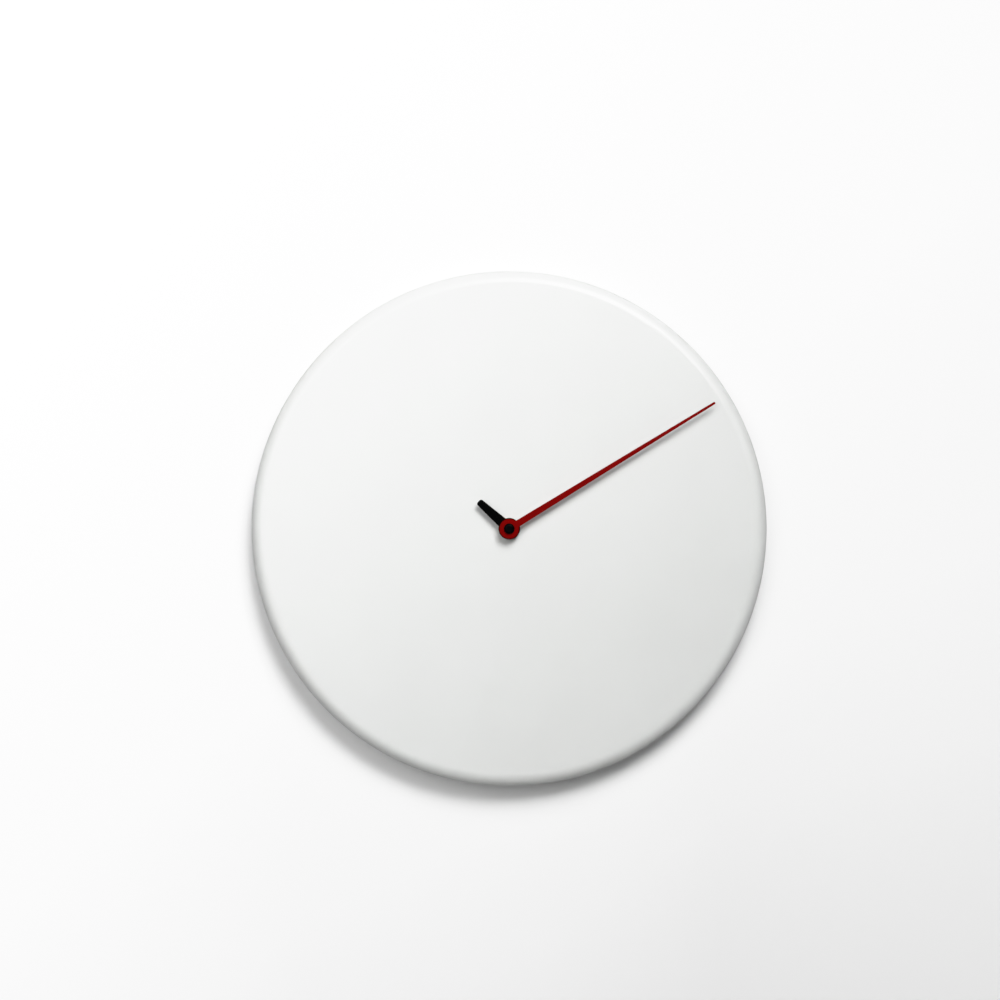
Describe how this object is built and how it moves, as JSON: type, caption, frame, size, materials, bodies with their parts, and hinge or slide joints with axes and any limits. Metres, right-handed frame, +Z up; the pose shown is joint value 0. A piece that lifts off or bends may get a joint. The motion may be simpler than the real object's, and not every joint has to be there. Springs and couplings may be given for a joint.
{
  "type": "wall clock",
  "caption": "Round white wall clock: plain drawn-metal dial with a rolled rim, long red minute hand, short black hour hand, quartz movement and keyhole hanger behind.",
  "frame": {"origin": "on the hands' axis in the plane of the wall, which is the centre of the rear flange's ring-shaped face", "axes": "+Y points into the wall, +Z is up, +X is to the right of a person facing the clock; the clock faces -Y"},
  "size_m": [0.36, 0.0362, 0.36],
  "materials": {
    "dial_enamel": "satin white enamel",
    "minute_red": "dark red satin lacquer",
    "hour_black": "black satin lacquer",
    "cap_black": "black, polished",
    "zinc_steel": "zinc plated",
    "brass": "turned",
    "gasket_rubber": "matt",
    "case_plastic": "fine moulded texture",
    "knob_plastic": "fine moulded texture",
    "plate_plastic": "natural moulded",
    "wheel_plastic": "natural moulded",
    "arbor_brass": "turned",
    "spring_steel": "blank",
    "magnet": "sintered",
    "soft_iron": "stamped",
    "bobbin_plastic": "moulded",
    "copper_wire": "enamelled copper",
    "board": "phenolic laminate",
    "epoxy": "black epoxy",
    "nickel": "nickel plated",
    "cell_sleeve": "plain printed sleeve"
  },
  "bodies": {
    "frame": {"dial_dish": "dial_enamel", "hanger_bracket": "zinc_steel", "hanger_studs": "zinc_steel", "hanger_washers": "zinc_steel", "hanger_nuts": "zinc_steel", "dial_gasket": "gasket_rubber", "centre_bushing": "brass", "fixing_washer": "brass", "fixing_nut": "brass", "movement_case": "case_plastic", "movement_cover": "case_plastic", "middle_plate": "plate_plastic", "train_plate": "plate_plastic", "stator": "soft_iron", "coil_core": "soft_iron", "coil_bobbin": "bobbin_plastic", "coil_winding": "copper_wire", "circuit_board": "board", "clock_chip": "epoxy", "quartz_crystal": "nickel", "positive_contact": "nickel", "negative_contact": "nickel"},
    "minute": {"minute_hand": "minute_red", "minute_hand_bush": "brass", "hand_cap": "cap_black", "minute_arbor": "arbor_brass", "clutch_spring": "spring_steel"},
    "hour": {"hour_hand": "hour_black", "hour_hand_bush": "brass", "hour_wheel": "wheel_plastic"},
    "motion": {"motion_wheel": "wheel_plastic"},
    "setting": {"setting_shaft": "knob_plastic", "setting_knob": "knob_plastic"},
    "rotor": {"rotor_pinion": "wheel_plastic", "rotor_magnet": "magnet"},
    "intermediate": {"intermediate_wheel": "wheel_plastic"},
    "second": {"second_wheel": "wheel_plastic"},
    "third": {"third_wheel": "wheel_plastic"},
    "centre": {"centre_wheel": "wheel_plastic"},
    "battery": {"battery_sleeve": "cell_sleeve", "battery_positive_cap": "nickel", "battery_negative_cap": "nickel"}
  },
  "joints": [
    {"name": "minute_hand_turn", "type": "hinge", "parent": "frame", "child": "minute", "pos_m": [0, -0.026, 0], "axis": [0, 1, 0], "continuous": true},
    {"name": "hour_hand_turn", "type": "hinge", "parent": "frame", "child": "hour", "pos_m": [0, -0.026, 0], "axis": [0, 1, 0], "continuous": true},
    {"name": "motion_wheel_turn", "type": "hinge", "parent": "frame", "child": "motion", "pos_m": [-0.00945, -0.021, -0.00167], "axis": [0, 1, 0], "continuous": true},
    {"name": "setting_knob_turn", "type": "hinge", "parent": "frame", "child": "setting", "pos_m": [-0.01562, -0.009, 0.00569], "axis": [0, 1, 0], "continuous": true},
    {"name": "rotor_turn", "type": "hinge", "parent": "frame", "child": "rotor", "pos_m": [0.01167, -0.017, 0.00206], "axis": [0, 1, 0], "continuous": true},
    {"name": "intermediate_wheel_turn", "type": "hinge", "parent": "frame", "child": "intermediate", "pos_m": [0.0065, -0.015, 0.00115], "axis": [0, 1, 0], "continuous": true},
    {"name": "second_wheel_turn", "type": "hinge", "parent": "frame", "child": "second", "pos_m": [0, -0.016, 0], "axis": [0, 1, 0], "continuous": true},
    {"name": "third_wheel_turn", "type": "hinge", "parent": "frame", "child": "third", "pos_m": [-0.00325, -0.017, 0.00563], "axis": [0, 1, 0], "continuous": true},
    {"name": "centre_wheel_turn", "type": "hinge", "parent": "frame", "child": "centre", "pos_m": [0, -0.018, 0], "axis": [0, 1, 0], "continuous": true},
    {"name": "battery_slide", "type": "slide", "parent": "frame", "child": "battery", "axis": [0, 1, 0], "range_m": [0, 0.02]}
  ],
  "couplings": [
    {"joint": "hour_hand_turn", "follows": "minute_hand_turn", "ratio": 0.083333},
    {"joint": "motion_wheel_turn", "follows": "minute_hand_turn", "ratio": -0.33333},
    {"joint": "setting_knob_turn", "follows": "minute_hand_turn", "ratio": 1},
    {"joint": "intermediate_wheel_turn", "follows": "rotor_turn", "ratio": -0.16667},
    {"joint": "second_wheel_turn", "follows": "rotor_turn", "ratio": 0.033333},
    {"joint": "third_wheel_turn", "follows": "rotor_turn", "ratio": -0.0044444},
    {"joint": "centre_wheel_turn", "follows": "rotor_turn", "ratio": 0.00055556}
  ]
}
